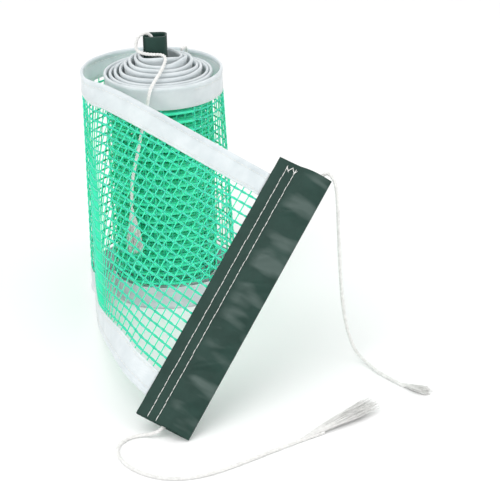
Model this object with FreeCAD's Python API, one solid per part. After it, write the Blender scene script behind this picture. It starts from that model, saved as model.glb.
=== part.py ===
import FreeCAD, Part
import math
import os

from FreeCAD import Matrix, Placement, Vector

os.makedirs("parts", exist_ok=True)

# A table tennis net, rolled up and standing on its lower edge. Millimetres, +Z up.
# The roll's axis is the Z axis. The free end comes round the left side and leans in front (-Y).

# Net
net_height = 152.5
tape_width = 15.0
tape_thickness = 1.0
mesh_thickness = 0.8
seam_gap = 0.05
sleeve_gap = 0.1
bend_gap = 0.4

# Bead along each tape's outer edge, where the tape is folded round its hem cord
bead_radius = 1.4
bead_sides = 8
bead_width = 2 * bead_radius

# Open mesh of the flat part of the free end
row_pitch = 6.1
column_pitch = 5.7
lengthwise_strand = 1.6
cross_strand = 0.65
panel_rim = 0.6
panel_foot_turn = 26.0
panel_foot_rise = 0.33

# Tight roll
core_radius = 12.0
turn_pitch = 3.25
first_angle = 156.0
last_angle = 2800.0
half_turn = 180.0
seam_angle = 0.2
lifted_turns = 5.5
gap_step = 15.0

# Sleeves at the net's two ends
sleeve_length = 176.0
sleeve_width = 35.0
sleeve_cloth = 0.7
sewn_width = 14.0
end_band_thickness = 1.2
end_band_width = 13.5
front_bulge = 3.1
back_bulge = 1.5
stitch_row_places = (7.0, 12.6)
stitch_length = 3.0
stitch_pitch = 4.0
stitch_width = 0.6
stitch_rise = 0.3
overhang = (sleeve_length - net_height) / 2

# Core sleeve, folded to a U in the middle of the roll
core_cloth = 0.5
core_layer_gap = 0.1
core_left = -8.3
core_back_left = -9.6
core_right = 5.3
core_half_depth = 5.2
core_corner = 3.0

# Free cords
cord_diameter = 2.2
floor_clearance = 0.05
tassel_gap = 0.35
arc_share = 0.45

# Swing of the free end about the roll's left side
hinge_place = Vector(-47.8, -9.0, 0)
hinge_gap = 0.45

fix_tolerance = 0.001
same_direction = 1


def lift_of(angle):
    """How far the core sleeve, standing on the floor, lifts a turn. The outer turns rest on the floor."""
    share = (angle - first_angle) / (360.0 * lifted_turns)
    return overhang * max(0.0, 1 - share)


def polar(angle, radius, height):
    turn = math.radians(angle)
    return Vector(radius * math.cos(turn), radius * math.sin(turn), height)


def half_turn_start(angle):
    return first_angle + half_turn * math.floor((angle - first_angle) / half_turn)


def half_turn_arc(start):
    """The centre and radius of the half circle that begins at this angle. Together they wind outwards."""
    shift = turn_pitch / 4
    radius = core_radius + turn_pitch * (start - first_angle) / 360.0 + shift
    return polar(start, -shift, 0), radius


def spiral_point(angle, out=0.0):
    centre, radius = half_turn_arc(half_turn_start(angle))
    return centre + polar(angle, radius + out, 0)


def half_turn_wall(start, stop, thickness, low, high):
    """Part of the tight roll's wall, as thick and as high as stated, before its lift."""
    centre, radius = half_turn_arc(start)
    middle = (start + stop) / 2
    inner = [centre + polar(angle, radius - thickness / 2, low) for angle in (start, middle, stop)]
    outer = [centre + polar(angle, radius + thickness / 2, low) for angle in (start, middle, stop)]
    edges = [
        Part.Arc(*inner),
        Part.LineSegment(inner[2], outer[2]),
        Part.Arc(*reversed(outer)),
        Part.LineSegment(outer[0], inner[0]),
    ]
    face = Part.Face(Part.Wire([edge.toShape() for edge in edges]))
    face.translate(Vector(0, 0, lift_of(middle)))
    return face.extrude(Vector(0, 0, high - low))


def tight_wall(thickness, low, high):
    """The tight turns as one wall. Each half turn stands a little lower than the one inside it."""
    walls = []
    start = first_angle
    while start < last_angle:
        stop = min(start + half_turn, last_angle)
        walls.append(half_turn_wall(start, stop, thickness, low, high))
        start = stop
    return walls[0].multiFuse(walls[1:])


# The loose outer turn: angle, then how far its top and bottom edges stand out from the axis
loose_turn = (
    (-55, 36.7, 38.0),
    (-30, 37.6, 41.6),
    (-5, 39.2, 45.6),
    (20, 41.4, 47.6),
    (45, 44.2, 48.4),
    (70, 47.2, 48.8),
    (95, 49.8, 49.4),
    (120, 51.6, 50.4),
    (145, 51.9, 51.2),
    (165, 50.8, 51.2),
    (180, 49.4, 50.4),
)


def loose_stations():
    """Pairs of top and bottom edge points from the end of the tight turns to the hinge."""
    foot = spiral_point(last_angle + seam_angle)
    pairs = [(foot + Vector(0, 0, net_height), foot)]
    for angle, top, bottom in loose_turn:
        pairs.append((polar(angle, top, net_height), polar(angle, bottom, 0)))
    return pairs + hinge_stations(-1)


# The free end: where its net meets the end sleeve, and how the straight top tape runs back from there
sleeve_foot = Vector(-21.4, -198.4, 11.6)
sleeve_up = Vector(0.519, 0.531, 0.670).normalize()
sleeve_across_rough = Vector(0.846, -0.431, -0.313)
sleeve_across = (sleeve_across_rough - sleeve_up * sleeve_across_rough.dot(sleeve_up)).normalize()
sleeve_back = sleeve_up.cross(sleeve_across)
net_foot = sleeve_foot + sleeve_up * overhang
net_head = net_foot + sleeve_up * net_height
straight_start = Vector(-30, -28, net_height)
tape_back = (straight_start - net_head).normalize()

# The flat of the net ends at a slanting fold: how far along each edge the fold lies from the sleeve
fold_top = 126.0
fold_bottom = 23.0
fold_rise = 4.0
flat_steps = 4

# Edge points between the hinge and the fold: the bottom edge waves up off the floor
bend_points = (
    (Vector(-46.2, -12.4, net_height), Vector(-47.5, -26, 0.1)),
    (Vector(-44.7, -14.6, net_height), Vector(-46.3, -50, 0.5)),
    (Vector(-43.0, -16.6, net_height), Vector(-44.7, -74, 6.5)),
    (Vector(-41.2, -18.4, net_height), Vector(-43.3, -97, 16.5)),
    (Vector(-39.3, -20.2, net_height), Vector(-41.8, -119, 26)),
    (Vector(-37.0, -22.2, net_height), Vector(-39.6, -139, 31.5)),
    (Vector(-34.0, -24.7, net_height), Vector(-35.9, -157, 31.5)),
)


def top_edge(distance):
    return net_head + tape_back * distance


def bottom_edge(distance):
    """A point of the bottom edge on the flat of the free end."""
    return net_foot + tape_back * distance + sleeve_up * (fold_rise * distance / fold_bottom)


def hinge_stations(side):
    """The net just before (-1) or just after (+1) the swing axis."""
    ahead = Vector(0.25, -1, 0).normalize() * hinge_gap * side
    foot = hinge_place + ahead
    return [(foot + Vector(0, 0, net_height), foot)]


def free_end_stations():
    pairs = hinge_stations(1) + list(bend_points)
    for i in range(flat_steps + 1):
        share = i / flat_steps
        top_distance = fold_top + (sleeve_gap - fold_top) * share
        bottom_distance = fold_bottom + (sleeve_gap - fold_bottom) * share
        pairs.append((top_edge(top_distance), bottom_edge(bottom_distance)))
    return pairs


def edge_curve(points):
    curve = Part.BSplineCurve()
    curve.interpolate(Points=points)
    return curve.toShape()


def shell_solid(rings):
    """A solid along rings of corner points."""
    corners = len(rings[0])
    edges = [edge_curve([ring[k] for ring in rings]) for k in range(corners)]
    faces = []
    for k in range(corners):
        faces.append(Part.makeRuledSurface(edges[k], edges[(k + 1) % corners], same_direction))
    for ring in (rings[0], rings[-1]):
        if corners == 4:
            a, b, c, d = ring
            head, foot = Part.makeLine(a, b), Part.makeLine(d, c)
            faces.append(Part.makeRuledSurface(head, foot, same_direction))
        else:
            faces.append(Part.Face(Part.makePolygon(ring + ring[:1])))
    shell = Part.Shell(faces)
    shell.sewShape()
    if shell.ShapeType != "Shell":
        shell = shell.Shells[0]
    solid = Part.Solid(shell)
    solid.fix(fix_tolerance, fix_tolerance, fix_tolerance)
    if solid.Volume < 0:
        solid.reverse()
    return solid


def edge_frames(pairs, top):
    """Each station's edge point, the way into the net and the way out of its outer face.

    The way in follows the line between the two edges, so that the tape ends flush with the sleeve.
    It is longer than 1 where that line slants, which keeps the tape's width square to its edge.
    """
    frames = []
    edge = [pair[0] if top else pair[1] for pair in pairs]
    other = [pair[1] if top else pair[0] for pair in pairs]
    for i, point in enumerate(edge):
        before = edge[max(i - 1, 0)]
        after = edge[min(i + 1, len(edge) - 1)]
        along = (after - before).normalize()
        into = (other[i] - point).normalize()
        outward = into.cross(along) if top else along.cross(into)
        slant = outward.Length
        frames.append((point, into / slant, outward / slant))
    return frames


def ring_points(frame, outline):
    point, into, outward = frame
    return [point + into * depth + outward * out for depth, out in outline]


def tape(pairs, top):
    """The tape's flat double cloth, from its bead to the mesh."""
    half = tape_thickness / 2
    start = bead_width + seam_gap
    outline = [(start, half), (tape_width, half), (tape_width, -half), (start, -half)]
    return shell_solid([ring_points(frame, outline) for frame in edge_frames(pairs, top)])


def hem_cord(pairs, top):
    """The hem cord in its fold of tape, with a flat towards the tape's edge."""
    step = 2 * math.pi / bead_sides
    turns = [step * (i + 0.5) for i in range(bead_sides)]
    outline = [
        (bead_radius + bead_radius * math.cos(turn), bead_radius * math.sin(turn)) for turn in turns
    ]
    return shell_solid([ring_points(frame, outline) for frame in edge_frames(pairs, top)])


def mesh_sheet(pairs, gap):
    """The mesh between two tapes, a little clear of both."""
    half = mesh_thickness / 2
    edge = tape_width + gap
    rings = []
    for upper, lower in zip(edge_frames(pairs, True), edge_frames(pairs, False)):
        head = ring_points(upper, [(edge, half), (edge, -half)])
        foot = ring_points(lower, [(edge, -half), (edge, half)])
        rings.append(head + foot)
    return shell_solid(rings)


def net_panel():
    """The flat of the free end: one holed face, given its thickness."""
    rise = fold_rise / fold_bottom
    low_way = (tape_back + sleeve_up * rise).normalize()
    margin = (tape_width + 2 * seam_gap) / low_way.cross(sleeve_up).Length
    head = net_height - (tape_width + 2 * seam_gap) / tape_back.cross(sleeve_up).Length
    fold_slope = (fold_top - fold_bottom) / (net_height - fold_rise)

    def place(up, back):
        return net_foot + sleeve_up * up + tape_back * back

    def fold_at(up):
        return fold_bottom + (up - fold_rise) * fold_slope - panel_rim * 2

    def foot_at(back):
        """The panel's lower edge. It turns up near the fold, as the tape below it does."""
        return margin + rise * back + panel_foot_rise * max(0.0, back - panel_foot_turn)

    steep = rise + panel_foot_rise
    corner = (foot_at(0) - panel_foot_rise * panel_foot_turn + steep * fold_at(0)) / (1 - steep * fold_slope)
    outline = [
        (foot_at(sleeve_gap), sleeve_gap),
        (head, sleeve_gap),
        (head, fold_at(head)),
        (corner, fold_at(corner)),
        (foot_at(panel_foot_turn), panel_foot_turn),
    ]
    wires = [Part.makePolygon([place(*p) for p in outline + outline[:1]])]
    rows = int((head - margin) / row_pitch)
    for row in range(rows):
        low = margin + row * row_pitch + lengthwise_strand
        high = low + row_pitch - lengthwise_strand
        column = 0
        while True:
            near = sleeve_gap + panel_rim + column * column_pitch
            far = near + column_pitch - cross_strand
            if far > min(fold_at(low), fold_at(high)) - panel_rim or high > head - panel_rim:
                break
            column += 1
            if low < foot_at(far) + panel_rim:
                continue
            gap = [(low, near), (high, near), (high, far), (low, far), (low, near)]
            wires.append(Part.makePolygon([place(*p) for p in gap]))
    print("gaps in the net panel", len(wires) - 1)
    face = Part.Face(wires, "Part::FaceMakerBullseye")
    normal = sleeve_up.cross(tape_back).normalize()
    face.translate(normal * (-mesh_thickness / 2))
    return face.extrude(normal * mesh_thickness)


def in_sleeve(shape):
    """Moves a shape from the sleeve's own frame: X across, Y to its back, Z up its length."""
    a, b, c, d = sleeve_across, sleeve_back, sleeve_up, sleeve_foot
    shape.Placement = Placement(
        Matrix(a.x, b.x, c.x, d.x, a.y, b.y, c.y, d.y, a.z, b.z, c.z, d.z)
    ).multiply(shape.Placement)
    return shape


def sleeve_panel(side, bulge):
    """One layer of the end sleeve: flat where it is sewn, bowed over the channel for the post."""
    inner = end_band_thickness / 2
    outer = inner + sleeve_cloth
    middle = (sewn_width + sleeve_width) / 2

    def at(across, out):
        return Vector(across, side * out, 0)

    edges = [
        Part.LineSegment(at(0, outer), at(sewn_width, outer)),
        Part.Arc(at(sewn_width, outer), at(middle, bulge + sleeve_cloth), at(sleeve_width, sleeve_cloth)),
        Part.LineSegment(at(sleeve_width, sleeve_cloth), at(sleeve_width, 0)),
        Part.LineSegment(at(sleeve_width, 0), at(sleeve_width - sleeve_cloth, 0)),
        Part.Arc(at(sleeve_width - sleeve_cloth, 0), at(middle, bulge), at(sewn_width, inner)),
        Part.LineSegment(at(sewn_width, inner), at(0, inner)),
        Part.LineSegment(at(0, inner), at(0, outer)),
    ]
    face = Part.Face(Part.Wire([edge.toShape() for edge in edges]))
    return in_sleeve(face.extrude(Vector(0, 0, sleeve_length)))


def end_band():
    """The net's own end, sewn between the sleeve's two layers."""
    start = bead_radius
    block = Part.makeBox(
        end_band_width - start, end_band_thickness, net_height - 2 * bead_radius,
        Vector(start, -end_band_thickness / 2, overhang + bead_radius),
    )
    return in_sleeve(block)


def stitch_row(across):
    """One row of stitches, showing on both faces of the sewn width."""
    face = end_band_thickness / 2 + sleeve_cloth
    count = int((sleeve_length - stitch_length) / stitch_pitch)
    blocks = []
    for i in range(count + 1):
        low = (sleeve_length - count * stitch_pitch - stitch_length) / 2 + i * stitch_pitch
        for y in (-face - stitch_rise, face):
            corner = Vector(across - stitch_width / 2, y, low)
            blocks.append(Part.makeBox(stitch_width, stitch_rise, stitch_length, corner))
    return in_sleeve(Part.makeCompound(blocks))


def core_layer(inner, outer):
    """One layer of the core sleeve: a U open to the left, seen from above."""

    def side(offset):
        depth = core_half_depth + offset
        right = core_right + offset
        corner = core_corner + offset
        middle = corner * (1 - math.sqrt(0.5))
        points = [
            Vector(core_left, -depth, 0),
            Vector(right - corner, -depth, 0),
            Vector(right - middle, -depth + middle, 0),
            Vector(right, -depth + corner, 0),
            Vector(right, depth - corner, 0),
            Vector(right - middle, depth - middle, 0),
            Vector(right - corner, depth, 0),
            Vector(core_back_left, depth, 0),
        ]
        return points

    def edges(p):
        return [
            Part.LineSegment(p[0], p[1]),
            Part.Arc(p[1], p[2], p[3]),
            Part.LineSegment(p[3], p[4]),
            Part.Arc(p[4], p[5], p[6]),
            Part.LineSegment(p[6], p[7]),
        ]

    a, b = side(inner), side(outer)
    loop = edges(a) + [Part.LineSegment(a[7], b[7])] + edges(b) + [Part.LineSegment(b[0], a[0])]
    wire = Part.Wire(Part.__sortEdges__([edge.toShape() for edge in loop]))
    return Part.Face(wire).extrude(Vector(0, 0, sleeve_length))


def core_stitches():
    """The two sewn rows of the core sleeve, on the outside of its back leg."""
    face = core_half_depth + core_layer_gap / 2 + core_cloth
    count = int((sleeve_length - stitch_length) / stitch_pitch)
    blocks = []
    for across in (3.0, 8.0):
        for i in range(count + 1):
            low = (sleeve_length - count * stitch_pitch - stitch_length) / 2 + i * stitch_pitch
            corner = Vector(core_back_left + across - stitch_width / 2, face, low)
            blocks.append(Part.makeBox(stitch_width, stitch_rise, stitch_length, corner))
    return Part.makeCompound(blocks)


def cord_tube(name, points):
    """A free cord: straight runs joined by tangent arcs. Prints its length and its arcs' radii."""
    edges = []
    radii = []
    start = points[0]
    for before, corner, after in zip(points, points[1:], points[2:]):
        back = before - corner
        ahead = after - corner
        turn = math.pi - back.getAngle(ahead)
        reach = arc_share * min(back.Length, ahead.Length)
        radii.append(reach / math.tan(turn / 2))
        first = corner + back.normalize() * reach
        last = corner + ahead.normalize() * reach
        centre_way = (back + ahead).normalize()
        middle_reach = radii[-1] / math.cos(turn / 2) - radii[-1]
        edges.append(Part.LineSegment(start, first).toShape())
        edges.append(Part.Arc(first, corner + centre_way * middle_reach, last).toShape())
        start = last
    edges.append(Part.LineSegment(start, points[-1]).toShape())
    path = Part.Wire(edges)
    circle = Part.Circle(points[0], points[1] - points[0], cord_diameter / 2)
    tube = path.makePipeShell([Part.Wire(circle.toShape())], True, False)
    expected = path.Length * math.pi * cord_diameter ** 2 / 4
    print(name, "length", round(path.Length, 1), "radii", [round(radius, 1) for radius in radii],
          "volume against section x length", round(tube.Volume / expected, 3))
    return tube


def tassel(start, end, wide):
    """A frayed tip: a slim cone from just past the cord's end, kept above the floor."""
    way = (end - start).normalize()
    foot = start + way * tassel_gap
    return Part.makeCone(cord_diameter / 2, wide / 2, (end - foot).Length, foot, way)


lay = cord_diameter / 2 + floor_clearance

end_bottom_points = (
    sleeve_foot + sleeve_across * 19.0 + sleeve_up * 5.0,
    sleeve_foot + sleeve_across * 18.0 + sleeve_up * -1.0,
    Vector(-11.5, -208.0, 3.2),
    Vector(-19.5, -205.5, lay),
    Vector(-28.0, -209.0, lay),
    Vector(-33.5, -219.5, lay),
    Vector(-30.5, -234.0, lay),
    Vector(-20.0, -248.5, lay),
    Vector(-4.5, -257.0, lay),
    Vector(16.0, -255.0, lay),
    Vector(38.0, -242.0, lay),
    Vector(61.0, -226.5, lay),
    Vector(86.0, -211.5, lay),
)
end_top_points = (
    sleeve_foot + sleeve_across * 27.0 + sleeve_up * (sleeve_length - 5.0),
    sleeve_foot + sleeve_across * 27.5 + sleeve_up * (sleeve_length + 3.5),
    Vector(100.5, -118.5, 121.5),
    Vector(102.6, -120.0, 111.0),
    Vector(103.2, -120.0, 90.0),
    Vector(104.2, -119.0, 62.0),
    Vector(105.6, -118.0, 38.0),
    Vector(108.6, -117.5, 19.0),
    Vector(113.4, -119.5, 5.0),
    Vector(120.2, -129.0, lay),
    Vector(127.0, -144.0, lay),
    Vector(139.2, -160.3, lay),
)
core_top_points = (
    Vector(-2.8, 0.0, 165.0),
    Vector(-2.8, 0.0, 173.0),
    Vector(-6.5, -1.0, 178.2),
    Vector(-13.0, -1.5, 176.0),
    Vector(-14.8, -2.5, 168.5),
    Vector(-12.0, -6.0, 166.3),
    Vector(-5.0, -8.6, 165.5),
    Vector(2.6, -9.4, 165.6),
    Vector(4.8, -14.5, 164.6),
    Vector(2.8, -20.5, 161.4),
    Vector(0.0, -27.0, 158.4),
    Vector(-3.0, -33.6, 156.4),
    Vector(-6.2, -40.0, 153.0),
    Vector(-8.2, -39.6, 144.0),
    Vector(-12.0, -38.2, 128.0),
    Vector(-16.2, -36.4, 107.5),
    Vector(-20.5, -34.4, 90.5),
    Vector(-21.2, -34.0, 73.5),
)
core_tail_points = (
    Vector(15.0, 19.6, 159.2),
    Vector(16.2, 24.2, 158.6),
    Vector(17.2, 29.4, 157.4),
    Vector(17.9, 35.0, 155.8),
    Vector(18.4, 39.6, 151.8),
    Vector(18.5, 40.2, 144.5),
    Vector(18.7, 39.6, 136.5),
)


def least_gap():
    """The smallest free space between neighbouring tight turns, at their beads."""
    count = int((last_angle - first_angle) / gap_step)
    line = [spiral_point(first_angle + gap_step * i) for i in range(count)]
    per_turn = round(2 * half_turn / gap_step)
    least = min(
        (line[i + per_turn + k] - line[i]).Length
        for i in range(count - per_turn - 1)
        for k in (-1, 0, 1)
    )
    return least - bead_width


def rolled(thickness, low, high, loose_part):
    """A piece of the roll: its tight turns, then its loose outer turn, end to end."""
    return Part.makeCompound([tight_wall(thickness, low, high), loose_part])


loose_pairs = loose_stations()
free_pairs = free_end_stations()
bend_pairs = free_pairs[: len(free_pairs) - flat_steps]
tight_count = int((last_angle - first_angle) / gap_step)
tight_points = [spiral_point(first_angle + gap_step * i) for i in range(tight_count)]
print("least gap between turns", round(least_gap(), 2))
mesh_low = tape_width + seam_gap
mesh_high = net_height - mesh_low
tape_start = bead_width + seam_gap
top_points = [Vector(p.x, p.y, net_height) for p in tight_points]
top_points += [pair[0] for pair in loose_pairs + free_pairs]
print("net length", round(sum((b - a).Length for a, b in zip(top_points, top_points[1:]))))

parts = {
    "net_mesh_roll": rolled(mesh_thickness, mesh_low, mesh_high, mesh_sheet(loose_pairs, seam_gap)),
    "top_tape_roll": rolled(
        tape_thickness, net_height - tape_width, net_height - tape_start, tape(loose_pairs, True)
    ),
    "bottom_tape_roll": rolled(tape_thickness, tape_start, tape_width, tape(loose_pairs, False)),
    "top_hem_cord_roll": rolled(
        bead_width, net_height - bead_width, net_height, hem_cord(loose_pairs, True)
    ),
    "bottom_hem_cord_roll": rolled(bead_width, 0.0, bead_width, hem_cord(loose_pairs, False)),
    "core_sleeve_outer": core_layer(core_layer_gap / 2, core_layer_gap / 2 + core_cloth),
    "core_sleeve_inner": core_layer(-core_layer_gap / 2 - core_cloth, -core_layer_gap / 2),
    "core_sleeve_stitching": core_stitches(),
    "core_top_cord": cord_tube("core_top_cord", core_top_points),
    "core_top_tassel": tassel(core_top_points[-1], core_top_points[-1] + Vector(1.5, -0.2, -34), 6.0),
    "core_cord_tail": cord_tube("core_cord_tail", core_tail_points),
    "net_mesh_bend": mesh_sheet(bend_pairs, bend_gap),
    "net_mesh_panel": net_panel(),
    "net_end_band": end_band(),
    "top_tape_free": tape(free_pairs, True),
    "bottom_tape_free": tape(free_pairs, False),
    "top_hem_cord_free": hem_cord(free_pairs, True),
    "bottom_hem_cord_free": hem_cord(free_pairs, False),
    "end_sleeve_front": sleeve_panel(-1, front_bulge),
    "end_sleeve_back": sleeve_panel(1, back_bulge),
    "end_sleeve_stitch_row_1": stitch_row(stitch_row_places[0]),
    "end_sleeve_stitch_row_2": stitch_row(stitch_row_places[1]),
    "end_top_cord": cord_tube("end_top_cord", end_top_points),
    "end_top_tuft": tassel(end_top_points[-1], Vector(150.6, -169.1, 2.6), 5.0),
    "end_bottom_cord": cord_tube("end_bottom_cord", end_bottom_points),
    "end_bottom_tassel": tassel(end_bottom_points[-1], Vector(116.2, -186.0, 5.2), 10.0),
}
cord_nodes = ("core_top_cord", "core_top_tassel", "core_cord_tail")
cord_nodes += ("end_top_cord", "end_top_tuft", "end_bottom_cord", "end_bottom_tassel")

# The origin is the middle of the footprint, cords left out
bounds = FreeCAD.BoundBox()
for name, shape in parts.items():
    if name not in cord_nodes:
        bounds.add(shape.optimalBoundingBox(False))
origin = Vector(bounds.Center.x, bounds.Center.y, 0)
print("origin", origin, "lowest", round(bounds.ZMin, 3))
print("hinge", hinge_place - origin)
for name, shape in parts.items():
    if not shape.isValid():
        print("not valid", name)
    shape.translate(-origin)
    shape.exportStep(f"parts/{name}.step")
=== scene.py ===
import math

import bpy
import numpy as np
from mathutils import Matrix, Vector


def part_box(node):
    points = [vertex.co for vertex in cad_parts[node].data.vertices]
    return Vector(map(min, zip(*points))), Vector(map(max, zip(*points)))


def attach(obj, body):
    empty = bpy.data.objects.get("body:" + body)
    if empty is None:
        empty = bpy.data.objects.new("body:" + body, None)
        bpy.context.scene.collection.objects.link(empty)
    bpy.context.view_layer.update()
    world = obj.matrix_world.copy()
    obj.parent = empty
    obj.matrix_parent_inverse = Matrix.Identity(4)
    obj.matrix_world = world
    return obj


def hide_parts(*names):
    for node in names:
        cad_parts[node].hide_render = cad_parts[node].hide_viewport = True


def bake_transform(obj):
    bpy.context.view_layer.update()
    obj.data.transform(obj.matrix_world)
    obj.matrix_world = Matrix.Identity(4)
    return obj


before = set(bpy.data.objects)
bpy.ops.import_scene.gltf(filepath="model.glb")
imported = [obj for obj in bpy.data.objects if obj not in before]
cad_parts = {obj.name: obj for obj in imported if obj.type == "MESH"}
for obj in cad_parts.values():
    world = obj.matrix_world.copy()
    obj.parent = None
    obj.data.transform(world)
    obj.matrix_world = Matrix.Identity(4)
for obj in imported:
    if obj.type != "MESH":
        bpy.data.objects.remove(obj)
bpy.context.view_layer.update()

# A rolled-up table tennis net. Its pieces stand for the part's solids, with the mesh as single strands.
# Places below are in millimetres about the roll's axis, as in the part. The core sleeve gives the shift.
MM = 0.001

# Net
net_height = 152.5
tape_width = 15.0
tape_half = 0.48
tape_under_mesh = 0.1

# Fold of the tape round its hem cord: half its depth into the net, and half its thickness
bead_depth, bead_radius = 1.65, 1.0
bead_steps = 13
bead_join = 0.35

# Strands of the mesh. The tight turns have flat strands, and the rest has pairs of twisted yarns.
row_count = 20
column_pitch = 5.7
row_wide = 0.92
row_thick = 0.46
row_sides = 6
yarn_radius = 0.45
yarn_thick = 0.9 * yarn_radius
yarn_offset = 0.36
yarn_lift = 0.5 * yarn_offset
yarn_step = 0.95
yarn_sides = 4
cross_radius = 0.38
cross_sides = 5

# Tight roll
core_radius = 12.0
turn_pitch = 3.25
first_angle = 156.0
last_angle = 2800.0
angle_step = 5.0
lifted_turns = 5.5
column_start, column_end = 10.0, 8.0

# Slow waves round the turns: size, waves a radian, phase
height_waves = ((0.8, 1.7, 0.0), (0.6, 2.6, 1.0))
radius_waves = ((0.32, 3.05, 0.0), (0.22, 4.96, 1.3), (0.22, 2.37, 0.0), (0.30, 1.43, -2.3))
lift_of_full_waves = 3.0
wave_fade_angle = 60.0
start_tuck, start_tuck_angle = 0.5, 12.0

# Sleeves
sleeve_length = 176.0
sleeve_width = 35.0
overhang = (sleeve_length - net_height) / 2
core_left, core_back_left, core_right = -8.3, -9.6, 5.3
core_half_depth = 5.2
core_corner = 3.0
core_half_cloth = 0.52
core_face = 0.55
core_sway_from = 150
core_stitch_rows = (3.0, 8.0)
core_stitch_radius, core_stitch_length, core_stitch_room = 0.25, 2.9, 3.0
core_stitch_lift = 0.01
stitch_start = 1.2
stitch_pitch = 4.0

# Cords
cord_diameter = 2.2
cord_step = 0.8
twist_length = 6.2
strand_offset, strand_radius = 0.56, 0.60
fibre_radius = 0.05
fibre_least_height = 0.1
yarn_end_radius, yarn_end_least_height = 0.26, 0.25
floor_clearance = 0.05
lay = cord_diameter / 2 + floor_clearance

# Colours, as linear red, green and blue
twine_deep, twine_pale = (0.025, 0.74, 0.40), (0.060, 0.83, 0.50)
tape_deep, tape_pale = (0.60, 0.65, 0.67), (0.69, 0.735, 0.755)
satin_deep, satin_pale = (0.009, 0.036, 0.027), (0.015, 0.049, 0.038)
# Painted highlight: the paler colour of the satin's bands, where its creases would catch the light
satin_painted_highlight = (0.070, 0.108, 0.096)
thread_deep, thread_pale = (0.72, 0.73, 0.70), (0.86, 0.86, 0.83)
cotton_deep, cotton_pale = (0.74, 0.74, 0.72), (0.90, 0.90, 0.88)

core_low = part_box("core_sleeve_outer")[0]
core_depth = core_half_depth + core_face
SHIFT = np.array(core_low) - np.array((core_back_left, -core_depth, 0.0)) * MM

rng = np.random.default_rng(7)


def unit(v):
    v = np.asarray(v, float)
    return v / np.linalg.norm(v, axis=-1, keepdims=True)


def metres(points):
    return np.asarray(points, float) * MM + SHIFT


def place(point):
    return Vector(metres(point))


# The free end's own directions: along its sleeve, across it, out of its back, and back along the net
sleeve_foot = np.array((-21.4, -198.4, 11.6))
sleeve_up = unit((0.519, 0.531, 0.670))
rough = np.array((0.846, -0.431, -0.313))
sleeve_across = unit(rough - sleeve_up * rough.dot(sleeve_up))
sleeve_back = np.cross(sleeve_up, sleeve_across)
net_foot = sleeve_foot + sleeve_up * overhang
net_head = net_foot + sleeve_up * net_height
tape_back = unit(np.array((-30.0, -28.0, net_height)) - net_head)

# The flat of the free end: how far its slanting fold lies from the sleeve, and shares of that distance
fold_top, fold_bottom, fold_rise = 126.0, 23.0, 4.0
flat_shares = (1.0, 0.75, 0.5, 0.25, 0.0)


def waves(turn, table):
    return sum(size * np.sin(rate * turn + phase) for size, rate, phase in table)


def lift_of(angle):
    """How far a turn stands off the floor. The core sleeve lifts the inner turns."""
    share = (angle - first_angle) / (360.0 * lifted_turns)
    lift = overhang * np.maximum(0.0, 1 - share)
    uneven = waves(np.radians(angle), height_waves)
    return lift + uneven * np.clip(lift / lift_of_full_waves, 0, 1)


def tight_radius(angle):
    tuck = start_tuck * np.exp((first_angle - angle) / start_tuck_angle)
    wave = waves(np.radians(angle), radius_waves)
    fade = np.clip((last_angle - angle) / wave_fade_angle, 0, 1)
    return core_radius + turn_pitch * (angle - first_angle) / 360.0 - tuck + wave * fade


def polar(angle, radius, height):
    turn = np.radians(angle)
    return np.array((radius * math.cos(turn), radius * math.sin(turn), height))


# The loose outer turn: angle, then how far its top and bottom edges stand out from the axis
loose_turn = (
    (-55, 36.7, 38.0), (-30, 37.6, 41.6), (-5, 39.2, 45.6), (20, 41.4, 47.6),
    (45, 44.2, 48.4), (70, 47.2, 48.8), (95, 49.8, 49.4), (120, 51.6, 50.4),
    (145, 51.9, 51.2), (165, 50.8, 51.2), (180, 49.4, 50.4),
)

# Top and bottom edge points from the swing axis to the fold
bend_points = (
    ((-47.7, -9.4, net_height), (-47.7, -9.4, 0)),
    ((-46.2, -12.4, net_height), (-47.5, -26, 0.1)),
    ((-44.7, -14.6, net_height), (-46.3, -50, 0.5)),
    ((-43.0, -16.6, net_height), (-44.7, -74, 6.5)),
    ((-41.2, -18.4, net_height), (-43.3, -97, 16.5)),
    ((-39.3, -20.2, net_height), (-41.8, -119, 26)),
    ((-37.0, -22.2, net_height), (-39.6, -139, 31.5)),
    ((-34.0, -24.7, net_height), (-35.9, -157, 31.5)),
)


def tight_edges(angles):
    lift = lift_of(angles)
    radius = tight_radius(angles)
    turn = np.radians(angles)
    flat = np.stack([radius * np.cos(turn), radius * np.sin(turn)], -1)
    top = np.column_stack([flat, net_height + lift])
    return top, np.column_stack([flat, lift])


def loose_edges():
    """Station pairs from the last of the tight roll, over the loose turn, to the end sleeve."""
    pairs = []
    for angle in (last_angle - 15.0, last_angle):
        top, bottom = tight_edges(np.array([angle]))
        pairs.append((top[0], bottom[0]))
    for angle, top, bottom in loose_turn:
        pairs.append((polar(angle, top, net_height), polar(angle, bottom, 0)))
    pairs += [(np.array(a, float), np.array(b, float)) for a, b in bend_points]
    for share in flat_shares:
        low = net_foot + tape_back * fold_bottom * share + sleeve_up * fold_rise * share
        pairs.append((net_head + tape_back * fold_top * share, low))
    return pairs


def smooth_line(points, counts):
    """A Catmull-Rom line through points, with that many steps in each span after the first."""
    points = [np.array(p) for p in points]
    points.append(points[-1] * 2 - points[-2])
    line = []
    for i, count in enumerate(counts):
        a, b, c, d = points[i:i + 4]
        for t in np.arange(count) / count:
            line.append(
                0.5 * (2 * b + (c - a) * t + (2 * a - 5 * b + 4 * c - d) * t**2
                       + (3 * b - a - 3 * c + d) * t**3)
            )
    line.append(points[-2])
    return np.array(line)


def eased(line, first, reach):
    """The line with its bends rounded after that station. Its end at the sleeve stays."""
    made = line.copy()
    for i in range(first, len(line) - 1):
        near = min(reach, i - first, len(line) - 1 - i)
        made[i] = line[i - near:i + near + 1].mean(axis=0)
    return made


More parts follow.
